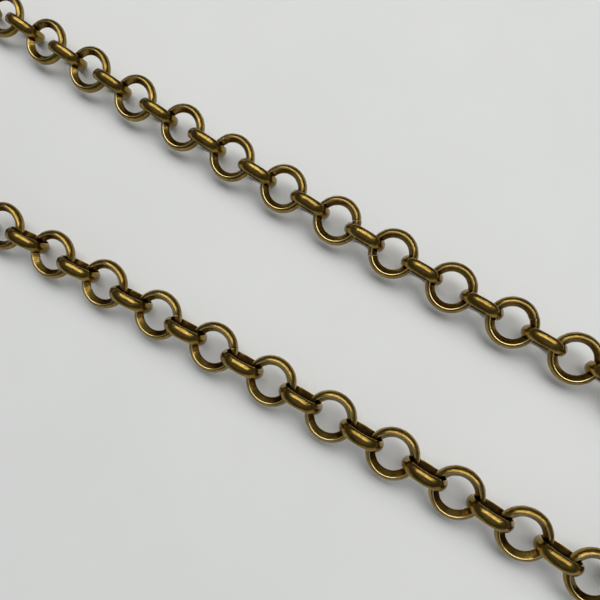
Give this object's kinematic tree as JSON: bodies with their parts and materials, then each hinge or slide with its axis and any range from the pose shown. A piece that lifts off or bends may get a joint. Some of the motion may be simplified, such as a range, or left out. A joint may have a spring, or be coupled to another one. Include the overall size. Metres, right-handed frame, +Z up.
{
  "type": "pocket watch chain",
  "caption": "Belcher watch chain of round bevelled links, larger ones joined by smaller ones, laid in two strands, with a T-bar and a swivel clasp with a sprung gate.",
  "frame": {"origin": "on the resting surface, under the middle of the folded chain's box", "axes": "+X along the two strands, from the fittings towards the bend; +Y from the clasp's strand to the T-bar's strand; +Z up from the resting surface"},
  "size_m": [0.1562, 0.0554, 0.0076],
  "materials": {
    "aged_brass": "aged, dark in the recesses and polished on the crests",
    "fitting_brass": "aged, turned and filed",
    "spring_steel": "blued strip, dulled"
  },
  "bodies": {
    "t_bar": {"t_bar_rod": "fitting_brass", "t_bar_eye": "fitting_brass"},
    "link_01": {"link_01": "aged_brass"},
    "link_02": {"link_02": "aged_brass"},
    "link_03": {"link_03": "aged_brass"},
    "link_04": {"link_04": "aged_brass"},
    "link_05": {"link_05": "aged_brass"},
    "link_06": {"link_06": "aged_brass"},
    "link_07": {"link_07": "aged_brass"},
    "link_08": {"link_08": "aged_brass"},
    "link_09": {"link_09": "aged_brass"},
    "link_10": {"link_10": "aged_brass"},
    "link_11": {"link_11": "aged_brass"},
    "link_12": {"link_12": "aged_brass"},
    "link_13": {"link_13": "aged_brass"},
    "link_14": {"link_14": "aged_brass"},
    "link_15": {"link_15": "aged_brass"},
    "link_16": {"link_16": "aged_brass"},
    "link_17": {"link_17": "aged_brass"},
    "link_18": {"link_18": "aged_brass"},
    "link_19": {"link_19": "aged_brass"},
    "link_20": {"link_20": "aged_brass"},
    "link_21": {"link_21": "aged_brass"},
    "link_22": {"link_22": "aged_brass"},
    "link_23": {"link_23": "aged_brass"},
    "link_24": {"link_24": "aged_brass"},
    "link_25": {"link_25": "aged_brass"},
    "link_26": {"link_26": "aged_brass"},
    "link_27": {"link_27": "aged_brass"},
    "link_28": {"link_28": "aged_brass"},
    "link_29": {"link_29": "aged_brass"},
    "link_30": {"link_30": "aged_brass"},
    "link_31": {"link_31": "aged_brass"},
    "link_32": {"link_32": "aged_brass"},
    "link_33": {"link_33": "aged_brass"},
    "link_34": {"link_34": "aged_brass"},
    "link_35": {"link_35": "aged_brass"},
    "link_36": {"link_36": "aged_brass"},
    "link_37": {"link_37": "aged_brass"},
    "link_38": {"link_38": "aged_brass"},
    "link_39": {"link_39": "aged_brass"},
    "link_40": {"link_40": "aged_brass"},
    "link_41": {"link_41": "aged_brass"},
    "link_42": {"link_42": "aged_brass"},
    "link_43": {"link_43": "aged_brass"},
    "link_44": {"link_44": "aged_brass"},
    "link_45": {"link_45": "aged_brass"},
    "link_46": {"link_46": "aged_brass"},
    "link_47": {"link_47": "aged_brass"},
    "link_48": {"link_48": "aged_brass"},
    "link_49": {"link_49": "aged_brass"},
    "link_50": {"link_50": "aged_brass"},
    "link_51": {"link_51": "aged_brass"},
    "link_52": {"link_52": "aged_brass"},
    "link_53": {"link_53": "aged_brass"},
    "swivel": {"swivel_eye": "fitting_brass"},
    "hook": {"clasp_hook": "fitting_brass", "gate_pin": "fitting_brass", "gate_spring": "spring_steel"},
    "gate": {"gate_lever": "fitting_brass"}
  },
  "joints": [
    {"name": "t_bar_swing", "type": "hinge", "parent": "t_bar", "child": "link_01", "pos_m": [-0.07016, 0.01122, 0.00378], "axis": [-0.0688, -0.9976, 0], "range_deg": [-70, 101]},
    {"name": "bend_01_02", "type": "hinge", "parent": "link_01", "child": "link_02", "pos_m": [-0.06504, 0.01086, 0.0035], "axis": [-0.0257, -0.3729, 0.9275], "range_deg": [-99, 97]},
    {"name": "bend_02_03", "type": "hinge", "parent": "link_02", "child": "link_03", "pos_m": [-0.0599, 0.01051, 0.0035], "axis": [0.0666, 0.966, 0.2498], "range_deg": [-98, 98]},
    {"name": "bend_03_04", "type": "hinge", "parent": "link_03", "child": "link_04", "pos_m": [-0.05476, 0.01016, 0.0035], "axis": [0.0245, 0.3711, -0.9283], "range_deg": [-97.5, 98.5]},
    {"name": "bend_04_05", "type": "hinge", "parent": "link_04", "child": "link_05", "pos_m": [-0.04962, 0.00983, 0.0035], "axis": [-0.0611, -0.9663, -0.2499], "range_deg": [-98, 98]},
    {"name": "bend_05_06", "type": "hinge", "parent": "link_05", "child": "link_06", "pos_m": [-0.04448, 0.00951, 0.0035], "axis": [-0.0224, -0.3713, 0.9282], "range_deg": [-98.5, 97.5]},
    {"name": "bend_06_07", "type": "hinge", "parent": "link_06", "child": "link_07", "pos_m": [-0.03934, 0.00921, 0.0035], "axis": [0.0555, 0.9667, 0.25], "range_deg": [-98, 98]},
    {"name": "bend_07_08", "type": "hinge", "parent": "link_07", "child": "link_08", "pos_m": [-0.0342, 0.00892, 0.0035], "axis": [0.0203, 0.3716, -0.9282], "range_deg": [-97.5, 98.5]},
    {"name": "bend_08_09", "type": "hinge", "parent": "link_08", "child": "link_09", "pos_m": [-0.02906, 0.00865, 0.0035], "axis": [-0.05, -0.9669, -0.2501], "range_deg": [-98, 98]},
    {"name": "bend_09_10", "type": "hinge", "parent": "link_09", "child": "link_10", "pos_m": [-0.02392, 0.00839, 0.0035], "axis": [-0.0181, -0.3718, 0.9281], "range_deg": [-98.5, 97.5]},
    {"name": "bend_10_11", "type": "hinge", "parent": "link_10", "child": "link_11", "pos_m": [-0.01878, 0.00815, 0.0035], "axis": [0.0444, 0.9672, 0.2501], "range_deg": [-98, 98]},
    {"name": "bend_11_12", "type": "hinge", "parent": "link_11", "child": "link_12", "pos_m": [-0.01364, 0.00791, 0.0035], "axis": [0.016, 0.372, -0.9281], "range_deg": [-97.5, 98.5]},
    {"name": "bend_12_13", "type": "hinge", "parent": "link_12", "child": "link_13", "pos_m": [-0.0085, 0.00771, 0.0035], "axis": [-0.0389, -0.9674, -0.2502], "range_deg": [-98, 98]},
    {"name": "bend_13_14", "type": "hinge", "parent": "link_13", "child": "link_14", "pos_m": [-0.00336, 0.0075, 0.0035], "axis": [-0.0139, -0.3721, 0.9281], "range_deg": [-98.5, 97.5]},
    {"name": "bend_14_15", "type": "hinge", "parent": "link_14", "child": "link_15", "pos_m": [0.00178, 0.00732, 0.0035], "axis": [0.0333, 0.9676, 0.2502], "range_deg": [-98, 98]},
    {"name": "bend_15_16", "type": "hinge", "parent": "link_15", "child": "link_16", "pos_m": [0.00692, 0.00715, 0.0035], "axis": [0.0117, 0.3723, -0.928], "range_deg": [-97.5, 98.5]},
    {"name": "bend_16_17", "type": "hinge", "parent": "link_16", "child": "link_17", "pos_m": [0.01206, 0.007, 0.0035], "axis": [-0.0277, -0.9678, -0.2503], "range_deg": [-98, 98]},
    {"name": "bend_17_18", "type": "hinge", "parent": "link_17", "child": "link_18", "pos_m": [0.0172, 0.00685, 0.0035], "axis": [-0.0096, -0.3724, 0.928], "range_deg": [-98.5, 97.5]},
    {"name": "bend_18_19", "type": "hinge", "parent": "link_18", "child": "link_19", "pos_m": [0.02234, 0.00673, 0.0035], "axis": [0.0222, 0.9679, 0.2503], "range_deg": [-98, 98]},
    {"name": "bend_19_20", "type": "hinge", "parent": "link_19", "child": "link_20", "pos_m": [0.02748, 0.00662, 0.0035], "axis": [0.0075, 0.3725, -0.928], "range_deg": [-97.5, 98.5]},
    {"name": "bend_20_21", "type": "hinge", "parent": "link_20", "child": "link_21", "pos_m": [0.03262, 0.00653, 0.0035], "axis": [-0.0166, -0.968, -0.2503], "range_deg": [-98, 98]},
    {"name": "bend_21_22", "type": "hinge", "parent": "link_21", "child": "link_22", "pos_m": [0.03776, 0.00644, 0.0035], "axis": [-0.0053, -0.3726, 0.928], "range_deg": [-98.5, 97.5]},
    {"name": "bend_22_23", "type": "hinge", "parent": "link_22", "child": "link_23", "pos_m": [0.0429, 0.00638, 0.0035], "axis": [0.011, 0.9681, 0.2504], "range_deg": [-98, 98]},
    {"name": "bend_23_24", "type": "hinge", "parent": "link_23", "child": "link_24", "pos_m": [0.04804, 0.00632, 0.0035], "axis": [0.0032, 0.3726, -0.928], "range_deg": [-97.5, 98.5]},
    {"name": "bend_24_25", "type": "hinge", "parent": "link_24", "child": "link_25", "pos_m": [0.05318, 0.00629, 0.0035], "axis": [-0.0054, -0.9681, -0.2504], "range_deg": [-98, 98]},
    {"name": "bend_25_26", "type": "hinge", "parent": "link_25", "child": "link_26", "pos_m": [0.05832, 0.00627, 0.0035], "axis": [-0.0486, -0.1999, 0.9786], "range_deg": [-12, 124]},
    {"name": "bend_26_27", "type": "hinge", "parent": "link_26", "child": "link_27", "pos_m": [0.06273, 0.00402, 0.00351], "axis": [0.4425, 0.8685, 0.2236], "range_deg": [-98, 98]},
    {"name": "bend_27_28", "type": "hinge", "parent": "link_27", "child": "link_28", "pos_m": [0.06714, 0.00177, 0.00352], "axis": [0.1277, 0.1771, -0.9759], "range_deg": [-115, 8]},
    {"name": "bend_28_29", "type": "hinge", "parent": "link_28", "child": "link_29", "pos_m": [0.07067, -0.0017, 0.00353], "axis": [-0.6907, -0.7006, -0.1792], "range_deg": [-98, 98]},
    {"name": "bend_29_30", "type": "hinge", "parent": "link_29", "child": "link_30", "pos_m": [0.07419, -0.00518, 0.00356], "axis": [-0.0003, -0.0001, 1], "range_deg": [-3.5, 158]},
    {"name": "bend_30_31", "type": "hinge", "parent": "link_30", "child": "link_31", "pos_m": [0.07296, -0.00997, 0.00357], "axis": [0.9667, -0.248, -0.0628], "range_deg": [-98.5, 97.5]},
    {"name": "bend_31_32", "type": "hinge", "parent": "link_31", "child": "link_32", "pos_m": [0.07173, -0.01477, 0.00354], "axis": [-0.0355, 0.0285, -0.999], "range_deg": [-146.5, 3.5]},
    {"name": "bend_32_33", "type": "hinge", "parent": "link_32", "child": "link_33", "pos_m": [0.06732, -0.01702, 0.00351], "axis": [-0.4425, 0.8685, 0.2236], "range_deg": [-98, 98]},
    {"name": "bend_33_34", "type": "hinge", "parent": "link_33", "child": "link_34", "pos_m": [0.06291, -0.01926, 0.0035], "axis": [0.0476, -0.1983, 0.979], "range_deg": [-5, 124.5]},
    {"name": "bend_34_35", "type": "hinge", "parent": "link_34", "child": "link_35", "pos_m": [0.05777, -0.01926, 0.0035], "axis": [0, -0.9681, -0.2504], "range_deg": [-98, 98]},
    {"name": "bend_35_36", "type": "hinge", "parent": "link_35", "child": "link_36", "pos_m": [0.05263, -0.01926, 0.0035], "axis": [-0.0008, 0.3731, -0.9278], "range_deg": [-98, 98]},
    {"name": "bend_36_37", "type": "hinge", "parent": "link_36", "child": "link_37", "pos_m": [0.04749, -0.01929, 0.0035], "axis": [-0.0042, 0.9681, 0.2504], "range_deg": [-98, 98]},
    {"name": "bend_37_38", "type": "hinge", "parent": "link_37", "child": "link_38", "pos_m": [0.04235, -0.01931, 0.0035], "axis": [0.0024, -0.3731, 0.9278], "range_deg": [-98, 98]},
    {"name": "bend_38_39", "type": "hinge", "parent": "link_38", "child": "link_39", "pos_m": [0.03721, -0.01935, 0.0035], "axis": [0.0084, -0.9681, -0.2504], "range_deg": [-98, 98]},
    {"name": "bend_39_40", "type": "hinge", "parent": "link_39", "child": "link_40", "pos_m": [0.03207, -0.0194, 0.0035], "axis": [-0.004, 0.3731, -0.9278], "range_deg": [-98, 98]},
    {"name": "bend_40_41", "type": "hinge", "parent": "link_40", "child": "link_41", "pos_m": [0.02693, -0.01946, 0.0035], "axis": [-0.0126, 0.9681, 0.2504], "range_deg": [-98, 98]},
    {"name": "bend_41_42", "type": "hinge", "parent": "link_41", "child": "link_42", "pos_m": [0.02179, -0.01953, 0.0035], "axis": [0.0057, -0.3731, 0.9278], "range_deg": [-98, 98]},
    {"name": "bend_42_43", "type": "hinge", "parent": "link_42", "child": "link_43", "pos_m": [0.01665, -0.01962, 0.0035], "axis": [0.0168, -0.968, -0.2503], "range_deg": [-98, 98]},
    {"name": "bend_43_44", "type": "hinge", "parent": "link_43", "child": "link_44", "pos_m": [0.01151, -0.01971, 0.0035], "axis": [-0.0073, 0.373, -0.9278], "range_deg": [-98, 98]},
    {"name": "bend_44_45", "type": "hinge", "parent": "link_44", "child": "link_45", "pos_m": [0.00637, -0.01982, 0.0035], "axis": [-0.0209, 0.9679, 0.2503], "range_deg": [-98, 98]},
    {"name": "bend_45_46", "type": "hinge", "parent": "link_45", "child": "link_46", "pos_m": [0.00123, -0.01993, 0.0035], "axis": [0.0089, -0.3729, 0.9278], "range_deg": [-98, 98]},
    {"name": "bend_46_47", "type": "hinge", "parent": "link_46", "child": "link_47", "pos_m": [-0.00391, -0.02006, 0.0035], "axis": [0.0251, -0.9678, -0.2503], "range_deg": [-98, 98]},
    {"name": "bend_47_48", "type": "hinge", "parent": "link_47", "child": "link_48", "pos_m": [-0.00905, -0.0202, 0.0035], "axis": [-0.0105, 0.3729, -0.9278], "range_deg": [-98, 98]},
    {"name": "bend_48_49", "type": "hinge", "parent": "link_48", "child": "link_49", "pos_m": [-0.01419, -0.02035, 0.0035], "axis": [-0.0293, 0.9677, 0.2503], "range_deg": [-98, 98]},
    {"name": "bend_49_50", "type": "hinge", "parent": "link_49", "child": "link_50", "pos_m": [-0.01933, -0.02051, 0.0035], "axis": [0.0121, -0.3728, 0.9279], "range_deg": [-98, 98]},
    {"name": "bend_50_51", "type": "hinge", "parent": "link_50", "child": "link_51", "pos_m": [-0.02447, -0.02069, 0.0035], "axis": [0.0335, -0.9676, -0.2502], "range_deg": [-98, 98]},
    {"name": "bend_51_52", "type": "hinge", "parent": "link_51", "child": "link_52", "pos_m": [-0.02961, -0.02086, 0.0035], "axis": [-0.0137, 0.3726, -0.9279], "range_deg": [-98, 98]},
    {"name": "bend_52_53", "type": "hinge", "parent": "link_52", "child": "link_53", "pos_m": [-0.03475, -0.02106, 0.0035], "axis": [-0.0376, 0.9675, 0.2502], "range_deg": [-98, 98]},
    {"name": "swivel_swing", "type": "hinge", "parent": "link_53", "child": "swivel", "pos_m": [-0.03989, -0.02126, 0.0035], "axis": [0.0145, -0.3741, 0.9273], "range_deg": [-97, 99]},
    {"name": "hook_spin", "type": "hinge", "parent": "swivel", "child": "hook", "pos_m": [-0.05198, -0.02173, 0.00301], "axis": [-0.9932, -0.0386, -0.1097], "continuous": true},
    {"name": "gate_open", "type": "hinge", "parent": "hook", "child": "gate", "pos_m": [-0.05612, -0.01759, 0.00257], "axis": [-0.1097, -0.0043, 0.994], "range_deg": [0, 28], "stiffness_Nm_per_rad": 0.002, "springref_deg": -8.59, "deforming": ["gate_spring"]}
  ]
}
